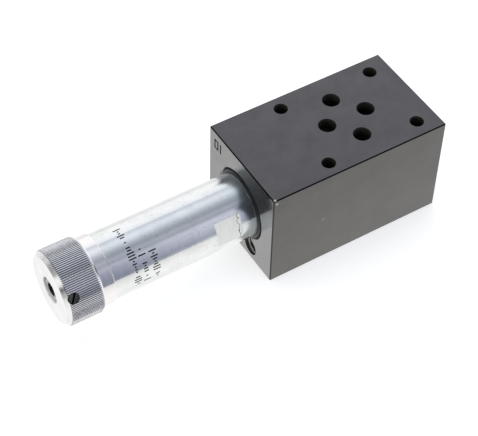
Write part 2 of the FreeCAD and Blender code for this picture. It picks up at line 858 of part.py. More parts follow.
def knurlOutline():
    # alternate tooth tips and roots round the knob
    root = s.knob_radius.value - s.knurl_depth.value
    teeth = int(s.knurl_teeth.value)
    corners = []
    for index in range(2 * teeth):
        radius = root if index % 2 else s.knob_radius.value
        angle = math.pi * index / teeth
        corners.append(Vector(radius * math.cos(angle), radius * math.sin(angle), 0))
    return corners


def makeKnob():
    body = newBody("control_knob", axisHeight)
    knurl = newSketch(body, "knurl", "YZ_Plane", lift=-s.knob_face)
    corners = knurlOutline()
    for index, corner in enumerate(corners):
        knurl.addGeometry(Part.LineSegment(corner, corners[(index + 1) % len(corners)]))
    pad(body, knurl, s.knob_length)

    # both ends are turned down to a cone, past the tooth tips
    outer = s.knob_radius + 1.0
    chamfers = newSketch(body, "knobChamfers", "XZ_Plane")
    frontEdge = s.knob_front_chamfer_length - s.knob_face
    rearEdge = knobRear - s.knob_rear_chamfer_length
    drawLoop(chamfers, [
        (-s.knob_face, s.knob_radius - s.knob_front_chamfer),
        (frontEdge, s.knob_radius),
        (frontEdge, outer),
        (-s.knob_face, outer),
    ])
    drawLoop(chamfers, [
        (rearEdge, s.knob_radius),
        (knobRear, s.knob_radius - s.knob_rear_chamfer),
        (knobRear, outer),
        (rearEdge, outer),
    ])
    spin(body, chamfers, "Groove")

    hollow = newSketch(body, "knobHollow", "XZ_Plane")
    skirt = s.collar_radius + s.knob_clearance
    bore = s.spindle_radius + s.sliding_clearance
    edge = 0.3
    drawLoop(hollow, [
        (-s.knob_face, 0),
        (-s.knob_face, bore + edge),
        (edge - s.knob_face, bore),
        (knobCapRear, bore),
        (knobCapRear, skirt),
        (knobRear, skirt),
        (knobRear, 0),
    ])
    spin(body, hollow, "Groove")

    angle = math.radians(s.set_screw_angle.value)
    outward = (setScrewAxis, outer * math.cos(angle), outer * math.sin(angle))
    hole = s.set_screw_radius + s.sliding_clearance
    drill(body, "setScrewHole", hole, (setScrewAxis, 0, 0), outward)
    return body


def radialPiece(label, radius, inner, outer):
    # a round piece on the set screw's axis, between two distances from the valve axis
    body = newBody(label, axisHeight)
    bind(body, "Placement.Base.x", setScrewAxis)
    body.Placement.Rotation = Rotation(Vector(1, 0, 0), s.set_screw_angle.value - 90)
    sketch = newSketch(body, label + "Outline", "XY_Plane", lift=inner)
    drawCircles(sketch, [(0, 0)], radius)
    pad(body, sketch, outer - inner)
    return body


def makeSetScrew():
    padOuter = s.spindle_radius + s.seat_clearance + s.set_screw_pad_thickness
    radialPiece("set_screw_pad", s.set_screw_pad_radius, s.spindle_radius + s.seat_clearance, padOuter)
    outer = s.knob_radius - s.set_screw_inset
    body = radialPiece("knob_set_screw", s.set_screw_radius, padOuter, outer)
    slot = newSketch(body, "setScrewSlot", "XY_Plane", lift=outer, turn=s.set_screw_slot_turn)
    reach = s.set_screw_radius + 1.0
    drawBox(slot, -s.set_screw_slot_width / 2, s.set_screw_slot_width / 2, -reach, reach)
    pocket(body, slot, s.set_screw_slot_depth)
    return body


makeBlock()
makePortSeals()
makeSleeve()
makeSleeveSeal()
makeEndPlug()
makePlugSeal()
makeSpool()
makeOrifice()
makeLowerPlate()
makeSpring()
makeUpperPlate()
makePlateSeals()
makeBall()
makeSpindle()
makeStopRing()
makeKnob()
makeSetScrew()
doc.recompute()

# Checks, then one file for each piece

for item in doc.Objects:
    if "Invalid" in item.State or "Error" in item.State:
        raise RuntimeError(item.Label + " did not build: " + ", ".join(item.State))

pieceTypes = ("PartDesign::Body", "Part::Torus", "Part::Sphere", "Part::Feature")
pieces = [item for item in doc.Objects if item.TypeId in pieceTypes]
for piece in pieces:
    if piece.Shape.isNull() or not piece.Shape.isValid() or len(piece.Shape.Solids) != 1:
        raise RuntimeError(piece.Label + " has no sound solid")

os.makedirs("parts", exist_ok=True)
for piece in pieces:
    piece.Shape.exportStep("parts/%s.step" % piece.Label)
    print(piece.Label, round(piece.Shape.Volume, 1), piece.Shape.BoundBox)
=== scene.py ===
import math

import bpy
from mathutils import Matrix, Vector


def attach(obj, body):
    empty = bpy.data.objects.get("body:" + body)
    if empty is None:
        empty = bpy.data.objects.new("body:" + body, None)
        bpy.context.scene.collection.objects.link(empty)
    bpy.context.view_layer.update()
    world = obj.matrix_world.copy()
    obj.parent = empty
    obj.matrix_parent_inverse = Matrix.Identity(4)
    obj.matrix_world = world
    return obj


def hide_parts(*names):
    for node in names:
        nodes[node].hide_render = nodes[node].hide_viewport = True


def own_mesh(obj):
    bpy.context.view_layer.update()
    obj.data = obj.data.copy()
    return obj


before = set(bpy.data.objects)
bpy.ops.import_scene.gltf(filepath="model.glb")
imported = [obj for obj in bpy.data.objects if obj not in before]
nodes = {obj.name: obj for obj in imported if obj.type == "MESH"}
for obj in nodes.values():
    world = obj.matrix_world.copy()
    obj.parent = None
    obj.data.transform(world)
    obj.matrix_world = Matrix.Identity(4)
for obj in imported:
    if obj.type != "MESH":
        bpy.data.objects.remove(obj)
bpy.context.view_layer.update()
mm = 0.001
metre = 1000  # mm; over a size in mm it gives the scale of a pattern
axisHeight = 22.5  # mm, the valve's axis above the lower face
smoothAngle = math.radians(35)  # sharper edges than this stay sharp
print("frame loaded:", len(nodes), "pieces")


def linear(hexColour):
    # "#rrggbb" as the eye sees it, turned to the linear numbers that a shader takes
    channels = [int(hexColour[i:i + 2], 16) / 255 for i in (1, 3, 5)]
    return tuple(c / 12.92 if c <= 0.04045 else ((c + 0.055) / 1.055) ** 2.4
                 for c in channels) + (1.0,)


def plug(tree, node, inputs):
    # inputs go by name or in order; a value is set on the socket itself, a node is linked to it
    for name, value in (inputs.items() if isinstance(inputs, dict) else enumerate(inputs)):
        socket = node.inputs[name] if isinstance(name, int) else next(
            one for one in node.inputs if one.name == name and one.enabled)
        if isinstance(value, bpy.types.Node):
            value = next(one for one in value.outputs if one.enabled)
        if isinstance(value, bpy.types.NodeSocket):
            tree.links.new(value, socket)
        else:
            socket.default_value = linear(value) if isinstance(value, str) else value


def put(tree, kind, inputs=(), ramp=(), **settings):
    # adds one node with its settings, its values and links, and its colour stops
    node = tree.nodes.new("ShaderNode" + kind)
    for name, value in settings.items():
        setattr(node, name, value)
    plug(tree, node, inputs)
    for place, (position, colour) in enumerate(ramp):
        stops = node.color_ramp.elements
        stop = stops[place] if place < 2 else stops.new(position)  # a new ramp has two stops
        stop.position = position
        stop.color = linear(colour) if isinstance(colour, str) else colour
    return node


def newMaterial(name):
    material = bpy.data.materials.new(name)
    material.use_nodes = True
    tree = material.node_tree
    return material, tree, tree.nodes["Principled BSDF"]


def dress(material, *names):
    for name in names:
        for slot in nodes[name].material_slots:
            slot.material = material


# camera, at the photograph's place

cameraView = {
    "place": (-254.012, -318.434, 453.166),  # mm
    "right": (0.84984273, -0.52670445, 0.01870167),
    "up": (0.38788571, 0.64909267, 0.65438779),
    "ahead": (0.35680808, 0.5488726, -0.75592782),
    "lens": 114.63, "sensor": 36.0,  # mm
    "nearest": 0.01, "farthest": 20,  # m
}


def placeCamera(view):
    data = bpy.data.cameras.new("photo_camera")
    data.lens = view["lens"]
    data.sensor_width = view["sensor"]
    data.clip_start = view["nearest"]
    data.clip_end = view["farthest"]
    camera = bpy.data.objects.new("photo_camera", data)
    bpy.context.scene.collection.objects.link(camera)
    right, up, ahead = (Vector(view[k]).normalized() for k in ("right", "up", "ahead"))
    turn = Matrix((right, up, -ahead)).transposed().to_4x4()
    camera.matrix_world = Matrix.Translation(Vector(view["place"]) * mm) @ turn
    bpy.context.scene.camera = camera


placeCamera(cameraView)
print("camera placed")


# light tent and floor

tent = {
    # how bright the cloth is at each angle round the valve's axis, as the metal mirrors it:
    # 0 is the horizon behind the valve, 90 overhead, 180 the camera's side
    "overhead": [
        (0, "#f6f7fa"), (16, "#fdfeff"), (34, "#fcfdff"), (42, "#f7f9fe"), (48, "#ecf0f7"),
        (53, "#dde1ea"), (59, "#cfd3dc"), (65, "#dce1ea"), (71, "#e5ebf3"), (78, "#dee4ed"),
        (86, "#cdd4dc"), (92, "#b7bec8"), (101, "#a1a8b2"), (107, "#969da8"), (114, "#a1a6b2"),
        (120, "#a9aeba"), (126, "#9ca1af")],
    # the camera's side, as the knob and most of the sleeve mirror it
    "nearKnob": [
        (132, "#999fad"), (138, "#9ba1b0"), (144, "#8b91a2"), (150, "#7c8294"), (156, "#767b8f"),
        (168, "#71778b"), (180, "#747a89")],
    # the camera's side, as the sleeve mirrors it next to the block
    "nearBlock": [
        (132, "#bcbfcd"), (138, "#d7d9e7"), (150, "#d6d8e7"), (162, "#cccedd"),
        (174, "#bbbdce"), (180, "#acafbd")],
    # the open, dark side beyond the knob, which the block's end face mirrors
    "knobEnd": [
        (0, "#c0c0c0"), (6, "#acacac"), (12, "#8e8e90"), (24, "#8a8a8d"), (44, "#838386"),
        (66, "#646467"), (82, "#49494c"), (100, "#343436"), (124, "#1c1c1d"), (180, "#1c1c1d")],
    # plain grey cloth farther round, for the faces that look that way
    "farSide": [
        (0, "#d2d2d2"), (8, "#cfcfcf"), (15, "#e0e0e0"), (22, "#c8c8c8"), (30, "#a6a6a6"),
        (60, "#a6a6a6"), (100, "#a0a0a0"), (150, "#989898"), (180, "#b0b0b0")],
    # straight along the axis past the knob
    "farEnd": [
        (0, "#d2d2d2"), (8, "#cfcfcf"), (15, "#e0e0e0"), (22, "#c8c8c8"), (30, "#a6a6a6"),
        (38, "#949494"), (48, "#989898"), (58, "#b0b0b0"), (69, "#a0a0a0"), (90, "#9c9c9c"),
        (138, "#747474"), (153, "#646464"), (164, "#7c7c7c"), (180, "#c0c0c0")],
    # their order from the knob's end of the axis to the plug's, and where each gives way to the
    # next, on a scale from -1 to 1
    "order": [["farEnd"], ["farSide"], ["knobEnd"], ["overhead", "nearKnob"],
              ["overhead", "nearBlock"]],
    "changes": [(-0.84, -0.8), (-0.47, -0.43), (-0.28, 0.0), (0.285, 0.325)],
    # a bright panel beyond the knob lights its face; it fades out from core to wide, in degrees
    "panel": {"way": (-0.88, -0.14, 0.44), "wide": 18, "core": 9, "colour": "#ffffff"},
    "strength": 1.04,
}


def hangTent(tent):
    # a white tent with a dimmer side where the camera looks in; the camera itself sees plain white
    world = bpy.data.worlds.new("light_tent")
    bpy.context.scene.world = world
    world.use_nodes = True
    tree = world.node_tree
    tree.nodes.clear()
    way = put(tree, "TexCoord").outputs["Generated"]
    parts = put(tree, "SeparateXYZ", [way]).outputs
    turn = put(tree, "Math", [parts["Z"], parts["Y"]], operation="ARCTAN2")
    turn = put(tree, "Math", [turn], operation="ABSOLUTE")
    share = put(tree, "Math", [turn, math.pi], operation="DIVIDE")
    sides = [put(tree, "ValToRGB", [share],
                 ramp=[(angle / 180, colour) for name in names for angle, colour in tent[name]])
             for names in tent["order"]]
    seen = sides[0]
    for side, (low, high) in zip(sides[1:], tent["changes"]):
        toward = put(tree, "MapRange", {"Value": parts["X"], "From Min": low, "From Max": high})
        seen = put(tree, "Mix", {"Factor": toward, "A": seen, "B": side}, data_type="RGBA")
    panel = tent["panel"]
    facing = put(tree, "VectorMath", [way, Vector(panel["way"]).normalized()],
                 operation="DOT_PRODUCT")
    onPanel = put(tree, "MapRange", {"Value": facing,
                                     "From Min": math.cos(math.radians(panel["wide"])),
                                     "From Max": math.cos(math.radians(panel["core"]))},
                  interpolation_type="SMOOTHSTEP")
    seen = put(tree, "Mix", {"Factor": onPanel, "A": seen, "B": panel["colour"]}, data_type="RGBA")
    light = put(tree, "Background", {"Color": seen, "Strength": tent["strength"]})
    white = put(tree, "Background", {"Color": "#ffffff", "Strength": 1.0})
    camera = put(tree, "LightPath").outputs["Is Camera Ray"]
    put(tree, "OutputWorld", {"Surface": put(tree, "MixShader", [camera, light, white])})


floor = {
    "size": 3.0,  # m
    "nearEdge": -167.0, "gap": 0.1,  # mm; the card ends short of the camera's side
    "cells": 4, "colour": "#d8d8d8", "glow": 0.64, "roughness": 0.9,
    # how bright the metal shows the card, by the distance across the valve in mm
    "shine": [(-167, 0.68), (-120, 0.78), (-90, 0.84), (-71, 0.88), (-50, 0.93), (-30, 0.98),
              (-15, 0.96), (0, 1.0), (25, 0.99), (45, 0.94), (110, 0.9), (220, 0.84)],
}


def layFloor(floor):
    # white card under the valve: it glows to the camera and in the metal, and takes a soft shadow
    bpy.ops.object.select_all(action="DESELECT")
    middle = floor["nearEdge"] * mm + floor["size"] / 2
    bpy.ops.mesh.primitive_grid_add(x_subdivisions=floor["cells"], y_subdivisions=floor["cells"],
                                    size=floor["size"], location=(0, middle, -floor["gap"] * mm))
    sheet = bpy.context.object
    sheet.name = "white_card"
    bpy.ops.object.transform_apply(location=True, rotation=True, scale=True)
    material, tree, shader = newMaterial("white photo card, matt")
    # in the metal the card shows as a lit panel that falls off with distance, with no shadow on it
    place = put(tree, "TexCoord").outputs["Object"]
    across = put(tree, "SeparateXYZ", [place]).outputs["Y"]
    start, end = floor["shine"][0][0], floor["shine"][-1][0]
    share = put(tree, "MapRange", {"Value": across, "From Min": start * mm, "From Max": end * mm})
    shine = put(tree, "ValToRGB", [share],
                ramp=[((spot - start) / (end - start), (value,) * 3 + (1,))
                      for spot, value in floor["shine"]])
    path = put(tree, "LightPath").outputs
    mirrored = put(tree, "Math", [path["Is Glossy Ray"], path["Is Transmission Ray"]],
                   operation="MAXIMUM")
    mirrored = put(tree, "Math", [mirrored, shine], operation="MULTIPLY")
    glow = put(tree, "Math", [path["Is Camera Ray"], floor["glow"], mirrored],
               operation="MULTIPLY_ADD")
    card = put(tree, "Mix", {"Factor": path["Is Glossy Ray"], "A": floor["colour"], "B": "#000000"},
               data_type="RGBA")
    plug(tree, shader, {"Base Color": card, "Roughness": floor["roughness"],
                        "Specular IOR Level": 0.0, "Emission Color": "#ffffff",
                        "Emission Strength": glow})
    sheet.data.materials.append(material)


lamps = {
    # mm and watts
    "overhead_softbox": {"place": (-150, 250, 900), "size": 900, "power": 3.2},
    "knob_side_softbox": {"place": (-900, -100, 420), "size": 600, "power": 1.6},
}


def hangLamps(lamps):
    target = Vector((0, 0, axisHeight * mm))
    for name, lamp in lamps.items():
        data = bpy.data.lights.new(name, "AREA")
        data.shape = "SQUARE"
        data.size = lamp["size"] * mm
        data.energy = lamp["power"]
        box = bpy.data.objects.new(name, data)
        bpy.context.scene.collection.objects.link(box)
        box.location = Vector(lamp["place"]) * mm
        box.rotation_euler = (target - box.location).to_track_quat("-Z", "Y").to_euler()
        box.visible_glossy = False  # the metal shows the tent alone


hangTent(tent)
layFloor(floor)
hangLamps(lamps)
print("light tent, floor and lamps placed")


# materials of the block and the seals

block = {
    "centre": (-8.2, 0, 22.5), "half": (38.5, 22.25, 22.5),  # mm, outer box of the block
    "slack": 0.05,  # mm, how near a point lies to a face to be on it
    "colour": "#595658", "patch": "#4f4d4f",  # ground top and bottom
    # the ends' colours carry painted light and the long sides' colours painted shade, on the one
    # finish
    "end": "#6d6b6b", "litEndPatch": "#646262", "shadedFlank": "#4e4c48", "shadedFlankPatch": "#494743",
    "patchSize": 9.0, "patchDetail": 5.0, "patchRoughness": 0.6,  # mm
    "patchFrom": 0.36, "patchTo": 0.66,
    # the edges' colours are painted shade: dark lines along the chamfered edges
    "edge": "#161617", "uprightEdgeShade": "#414141", "edgeWidth": 0.42,  # mm
    "stamped": "#0a0a0a", "stampDepth": 0.15, "stampSpread": 0.08, "stampInset": 1.0,  # mm
    # inside the holes, painted shade that deepens from the mouth down
    "holeMouthShade": "#8c8b80", "holeDeepShade": "#2b2c24", "holeRougher": 0.3,
    "holeFrom": 0.175, "darkFrom": 0.3, "darkBy": 6.0,  # mm under the outside
    "nicks": [  # mm
        {"place": (-45.9, -21.7, 45.0), "size": 0.5, "colour": "#c2c2be"},
        {"place": (-45.3, -22.25, 43.1), "size": 0.55, "colour": "#a3a19c"},
        {"place": (-23.8, -22.25, 22.1), "size": 0.65, "colour": "#696762"},
    ],
    "mouth": (-44.6, 13.9, 15.06),  # mm, the cone round the sleeve: its inner end and its two radii
    "roughness": 0.3, "smoothPatch": 0.04, "roughPatch": 0.05, "endSmoother": 0.1,
    "smoothFrom": 0.3, "roughTo": 0.7,
    "oil": 0.11,  # roughness of the oil film
    "grindPitch": 0.9, "grindLength": 25.0, "grindDepth": 0.003, "grindBump": 0.2,  # mm
}


def phosphatedIron(block):
    # cast iron, ground, phosphated and oiled: dull dark grey under a thin wet shine
    material, tree, shader = newMaterial("ground phosphated and oiled cast iron")
    place = put(tree, "TexCoord").outputs["Object"]
    # how far a point lies beyond the two faces of each direction, below 0 inside the block
    away = put(tree, "VectorMath", [place, Vector(block["centre"]) * mm], operation="SUBTRACT")
    away = put(tree, "VectorMath", [away], operation="ABSOLUTE")
    away = put(tree, "VectorMath", [away, Vector(block["half"]) * mm], operation="SUBTRACT")
    sides = put(tree, "SeparateXYZ", [away]).outputs
    # the nearest face gives the depth inside, and the next nearest the distance from an edge
    wide = put(tree, "Math", [sides["X"], sides["Y"]], operation="MAXIMUM")
    slim = put(tree, "Math", [sides["X"], sides["Y"]], operation="MINIMUM")
    depth = put(tree, "Math", [wide, sides["Z"]], operation="MAXIMUM")
    second = put(tree, "Math", [wide, sides["Z"]], operation="MINIMUM")
    second = put(tree, "Math", [second, slim], operation="MAXIMUM")
    edge = put(tree, "Math", [second, -block["edgeWidth"] * mm], operation="GREATER_THAN")
    upright = put(tree, "Math", [slim, -block["edgeWidth"] * mm], operation="GREATER_THAN")
    inside = put(tree, "Math", [depth, -block["holeFrom"] * mm], operation="LESS_THAN")
    sunk = put(tree, "Math", [sides["X"], -block["stampDepth"] * mm, block["stampSpread"] * mm],
               operation="COMPARE")
    inset = put(tree, "Math", [second, -block["stampInset"] * mm], operation="LESS_THAN")
    stamped = put(tree, "Math", [sunk, inset], operation="MULTIPLY")
    # the cone round the sleeve is machined like the face, so it stays out of the dark inside
    centred = put(tree, "Mapping", {"Vector": place, "Location": (0, 0, -axisHeight * mm)})
    centred = put(tree, "SeparateXYZ", [centred]).outputs
    across = put(tree, "CombineXYZ", {"Y": centred["Y"], "Z": centred["Z"]})
    radius = put(tree, "VectorMath", [across], operation="LENGTH")
    coneEnd, coneLow, coneHigh = block["mouth"]
    onCone = put(tree, "Math", [radius, (coneLow + coneHigh) / 2 * mm,
                                (coneHigh - coneLow) / 2 * mm], operation="COMPARE")
    shallow = put(tree, "Math", [centred["X"], coneEnd * mm], operation="LESS_THAN")
    onCone = put(tree, "Math", [onCone, shallow], operation="MULTIPLY")
    offCone = put(tree, "Math", [1.0, onCone], operation="SUBTRACT")
    inside = put(tree, "Math", [inside, offCone], operation="MULTIPLY")
    stamped = put(tree, "Math", [stamped, offCone], operation="MULTIPLY")
    # painted shade in the holes, darker the deeper a point lies below the outside
    holeShadeByDepth = put(tree, "MapRange", {"Value": depth, "From Min": -block["darkFrom"] * mm,
                                       "From Max": -block["darkBy"] * mm})
    hole = put(tree, "Mix", {"Factor": holeShadeByDepth, "A": block["holeMouthShade"], "B": block["holeDeepShade"]},
               data_type="RGBA")
    clouds = put(tree, "TexNoise", {"Vector": place, "Scale": metre / block["patchSize"],
                                    "Detail": block["patchDetail"],
                                    "Roughness": block["patchRoughness"]})
    clouding = put(tree, "MapRange", {"Value": clouds, "From Min": block["patchFrom"],
                                      "From Max": block["patchTo"]})
    body = put(tree, "Mix", {"Factor": clouding, "A": block["colour"], "B": block["patch"]},
               data_type="RGBA")
    # the ends are milled and painted a little lighter, as painted light; the long sides are painted
    # a little darker, as painted shade
    onSide = {}
    for side, plain, patch in (("X", "end", "litEndPatch"), ("Y", "shadedFlank", "shadedFlankPatch")):
        onSide[side] = put(tree, "Math", [sides[side], depth, block["slack"] * mm],
                           operation="COMPARE")
        tone = put(tree, "Mix", {"Factor": clouding, "A": block[plain], "B": block[patch]},
                   data_type="RGBA")
        body = put(tree, "Mix", {"Factor": onSide[side], "A": body, "B": tone}, data_type="RGBA")
    # the edge colours and the hole colours laid on here are painted shade
    coats = [(edge, block["edge"]), (upright, block["uprightEdgeShade"]), (inside, hole),
             (stamped, block["stamped"])]
    # bright nicks on both sides of the near corner, which was knocked, and one on the long side
    for nick in block["nicks"]:
        away = put(tree, "VectorMath", [place, Vector(nick["place"]) * mm], operation="DISTANCE")
        knocked = put(tree, "Math", [away, nick["size"] * mm], operation="LESS_THAN")
        coats.append((knocked, nick["colour"]))
    for mask, colour in coats:
        body = put(tree, "Mix", {"Factor": mask, "A": body, "B": colour}, data_type="RGBA")
    rough = put(tree, "MapRange", {"Value": clouds, "From Min": block["smoothFrom"],
                                   "From Max": block["roughTo"],
                                   "To Min": block["roughness"] - block["smoothPatch"],
                                   "To Max": block["roughness"] + block["roughPatch"]})
    rough = put(tree, "Math", [onSide["X"], -block["endSmoother"], rough],
                operation="MULTIPLY_ADD")
    rough = put(tree, "Math", [inside, block["holeRougher"], rough], operation="MULTIPLY_ADD")
    # the oil film lies on the open faces only
    dry = put(tree, "Math", [inside, edge], operation="MAXIMUM")
    dry = put(tree, "Math", [dry, stamped], operation="MAXIMUM")
    film = put(tree, "Math", [1.0, dry], operation="SUBTRACT")
    # grinding lines run along the block
    fine = metre / block["grindPitch"]
    stretch = (metre / block["grindLength"], fine, fine)
    stretched = put(tree, "Mapping", {"Vector": place, "Scale": stretch})
    lines = put(tree, "TexNoise", {"Vector": stretched, "Scale": 1.0, "Detail": 3.0})
    bump = put(tree, "Bump", {"Height": lines, "Strength": block["grindBump"],
                              "Distance": block["grindDepth"] * mm})
    plug(tree, shader, {"Base Color": body, "Metallic": 1.0, "Roughness": rough,
                        "Coat Weight": film, "Coat Roughness": block["oil"], "Normal": bump})
    return material


seals = {
    "colour": "#050505", "worn": "#0b0b0b", "wornFrom": 0.3, "wornTo": 0.7,
    "grain": 0.4, "grainDepth": 0.01, "grainBump": 0.2,  # mm
    "smooth": 0.4, "rough": 0.55, "specular": 0.25, "oil": 0.35, "oilRoughness": 0.12,
}


def nitrileRubber(seals):
    # moulded nitrile rubber fitted with oil: black, with a wet line of light along the ring
    material, tree, shader = newMaterial("moulded nitrile rubber, oiled")
    place = put(tree, "TexCoord").outputs["Object"]
    grain = put(tree, "TexNoise", {"Vector": place, "Scale": metre / seals["grain"], "Detail": 3.0})
    tone = put(tree, "ValToRGB", [grain], ramp=[(seals["wornFrom"], seals["colour"]),
                                                (seals["wornTo"], seals["worn"])])
    gloss = put(tree, "MapRange", {"Value": grain, "To Min": seals["smooth"],
                                   "To Max": seals["rough"]})
    bump = put(tree, "Bump", {"Height": grain, "Strength": seals["grainBump"],
                              "Distance": seals["grainDepth"] * mm})
    plug(tree, shader, {"Base Color": tone, "Roughness": gloss, "Normal": bump,
                        "Specular IOR Level": seals["specular"], "Coat Weight": seals["oil"],
                        "Coat Roughness": seals["oilRoughness"]})
    return material


dress(phosphatedIron(block), "valve_body")
dress(nitrileRubber(seals), "sleeve_o_ring", "end_plug_o_ring", "port_p_o_ring", "port_t_o_ring",
      "port_a_o_ring", "port_b_o_ring", "plate_o_ring")
print("block and seals dressed")


# turned and plated pieces: pitch is the width of a lathe ring and depth its height, in mm

lathe = {
    "ringDetail": 3.0, "ringRoughness": 0.65, "ringFrom": 0.3, "ringTo": 0.7, "ringBump": 0.3,
    "smoother": 0.85, "rougher": 1.2,  # roughness in the rings, as shares of the finish's own
    "cloudsPerMetre": 180.0, "cloudDetail": 5.0, "cloudRoughness": 0.6,
    "stainFrom": 0.35, "stainTo": 0.7,
    "drawn": 0.5,  # how far a reflection runs out across the rings, where a finish doesn't say
}


def turnedMetal(finish):
    # a lathe leaves fine rings round the axis, on the cylinders and on the faces alike
    material, tree, shader = newMaterial(finish["name"])
    coords = put(tree, "TexCoord").outputs
    centred = put(tree, "Mapping", {"Vector": coords["Object"],
                                    "Location": (0, 0, -axisHeight * mm)})
    parts = put(tree, "SeparateXYZ", [centred]).outputs
    across = put(tree, "CombineXYZ", {"Y": parts["Y"], "Z": parts["Z"]})
    radius = put(tree, "VectorMath", [across], operation="LENGTH")
    ringPlace = put(tree, "CombineXYZ", {"X": parts["X"], "Y": radius})
    rings = put(tree, "TexNoise", {"Vector": ringPlace, "Scale": metre / finish["pitch"],
                                   "Detail": lathe["ringDetail"],
                                   "Roughness": lathe["ringRoughness"]})
    clouds = put(tree, "TexNoise", {"Vector": centred, "Scale": lathe["cloudsPerMetre"],
                                    "Detail": lathe["cloudDetail"],
                                    "Roughness": lathe["cloudRoughness"]})
    staining = put(tree, "MapRange", {"Value": clouds, "From Min": lathe["stainFrom"],
                                      "From Max": lathe["stainTo"]})
    body = put(tree, "Mix", {"Factor": staining, "A": finish["colour"], "B": finish["stain"]},
               data_type="RGBA")
    rough = put(tree, "MapRange", {"Value": rings, "From Min": lathe["ringFrom"],
                                   "From Max": lathe["ringTo"],
                                   "To Min": finish["roughness"] * lathe["smoother"],
                                   "To Max": finish["roughness"] * lathe["rougher"]})
    bump = put(tree, "Bump", {"Height": rings, "Strength": lathe["ringBump"],
                              "Distance": finish["depth"] * mm})
    # a reflection runs out across the rings and stays sharp along them
    below = put(tree, "Math", [parts["Z"], -1.0], operation="MULTIPLY")
    along = put(tree, "CombineXYZ", {"Y": below, "Z": parts["Y"]})
    grain = put(tree, "VectorMath", [coords["Normal"], along], operation="CROSS_PRODUCT")
    grain = put(tree, "VectorTransform", [grain], vector_type="VECTOR",
                convert_from="OBJECT", convert_to="WORLD")
    plug(tree, shader, {"Base Color": body, "Metallic": finish.get("metallic", 1.0),
                        "Roughness": rough, "Normal": bump, "Tangent": grain,
                        "Anisotropic": finish.get("drawn", lathe["drawn"])})
    return material, tree, shader, {"centred": centred, "parts": parts, "across": across,
                                    "radius": radius, "body": body, "rough": rough, "bump": bump}


sleeve = {
    "name": "bright zinc plated turned steel", "colour": "#f8f9f8", "stain": "#eceeee",
    "roughness": 0.13, "pitch": 0.8, "depth": 0.0015, "drawn": 0.85,
    # faint blue-green and a little duller by the block, from and to in mm along the axis
    "passivated": "#dfe8ec", "passivatedFrom": -56.0, "passivatedTo": -49.0, "endRoughness": 0.18,
    "speck": "#a3a8ad", "speckSize": 0.9, "speckFrom": 0.66, "speckTo": 0.74, "speckShare": 0.55,
    "collar": -106.9, "collarColour": "#fdfaf9",  # mm, where the collar starts
}

wrenchFlats = {
    "angle": 162.0, "width": 24.0, "from": -64.3, "to": -53.4, "slack": 0.04,  # degrees and mm
    "colour": "#f0f3f1", "stain": "#e9ecea", "roughness": 0.22,
    "streaks": (1400, 160, 160), "streakFrom": 0.4, "streakTo": 0.65,  # streaks per metre
    "burr": "#565c57", "burrPlace": -54.3, "burrHalf": 0.16, "burrReach": 1.6,  # mm
    "burrWaves": 700.0,  # per metre
}


def millFlats(tree, made, flats):
    # the two milled flats: duller, streaked across, with a raised burr where the cutter left
    x = made["parts"]["X"]
    turn = math.radians(flats["angle"])
    reach = put(tree, "VectorMath", [made["across"], (0, math.cos(turn), math.sin(turn))],
                operation="DOT_PRODUCT")
    reach = put(tree, "Math", [reach], operation="ABSOLUTE")
    onFlat = put(tree, "Math", [reach, flats["width"] / 2 * mm, flats["slack"] * mm],
                 operation="COMPARE")
    middle, half = (flats["from"] + flats["to"]) / 2, (flats["to"] - flats["from"]) / 2
    alongFlat = put(tree, "Math", [x, middle * mm, half * mm], operation="COMPARE")
    onFlat = put(tree, "Math", [onFlat, alongFlat], operation="MULTIPLY")
    streakPlace = put(tree, "Mapping", {"Vector": made["centred"], "Scale": flats["streaks"]})
    streaks = put(tree, "TexNoise", {"Vector": streakPlace, "Scale": 1.0, "Detail": 3.0})
    streaking = put(tree, "MapRange", {"Value": streaks, "From Min": flats["streakFrom"],
                                       "From Max": flats["streakTo"]})
    colour = put(tree, "Mix", {"Factor": streaking, "A": flats["colour"], "B": flats["stain"]},
                 data_type="RGBA")
    wander = put(tree, "TexNoise", {"Vector": made["centred"], "Scale": flats["burrWaves"],
                                    "Detail": 2.0})
    wander = put(tree, "MapRange", {"Value": wander, "To Min": -flats["burrReach"] * mm,
                                    "To Max": flats["burrReach"] * mm})
    burr = put(tree, "Math", [x, wander], operation="ADD")
    burr = put(tree, "Math", [burr, flats["burrPlace"] * mm, flats["burrHalf"] * mm],
               operation="COMPARE")
    colour = put(tree, "Mix", {"Factor": burr, "A": colour, "B": flats["burr"]}, data_type="RGBA")
    return onFlat, colour


printing = {
    "ink": "#0c0c0e", "roughness": 0.5, "outside": 12.9,  # mm, the printed cylinder's radius
    "rows": [  # place along the axis in mm, and the first and last angle from the top
        {"x": -97.8, "from": -27, "to": 98},
        {"x": -94.1, "from": 35, "to": 96},
        {"x": -89.9, "from": 44, "to": 98},
    ],
    "height": 3.0, "pitch": 4.8,  # mm along the axis, degrees round it
    "thickness": 0.24,  # half of a mark, as a share of the pitch
    "shapes": [(0.0, 0.0), (0.2, 0.13), (0.45, 0.3), (0.6, 0.5)],  # gap, dot, short bar, long bar
}


